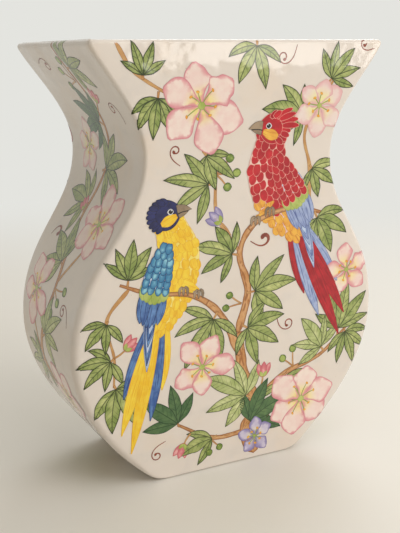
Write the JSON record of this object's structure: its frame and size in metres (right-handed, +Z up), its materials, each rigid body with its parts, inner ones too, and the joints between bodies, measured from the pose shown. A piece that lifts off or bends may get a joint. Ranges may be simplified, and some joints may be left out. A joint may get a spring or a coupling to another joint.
{
  "type": "vase",
  "caption": "Tall slab-built pottery vase with a flat front and back that lean apart, a wide belly, a narrow neck and a flared oblong mouth.",
  "frame": {"origin": "on the table, under the middle of the base", "axes": "+Z up; -Y towards the front slab; +X to the right as seen from the front"},
  "size_m": [0.269, 0.1656, 0.34],
  "materials": {
    "glaze": "clear gloss glaze over ivory slip and hand-painted underglaze colours",
    "inner_glaze": "gloss glaze over smeared clay",
    "bare_clay": "unglazed fired clay under the base"
  },
  "bodies": {
    "root": {"front_slab": "glaze", "back_slab": "glaze", "left_side_strip": "glaze", "right_side_strip": "glaze", "base_slab": "bare_clay", "front_left_seam_coil": "inner_glaze", "front_right_seam_coil": "inner_glaze", "back_left_seam_coil": "inner_glaze", "back_right_seam_coil": "inner_glaze", "front_base_seam_coil": "inner_glaze", "back_base_seam_coil": "inner_glaze"}
  },
  "joints": []
}
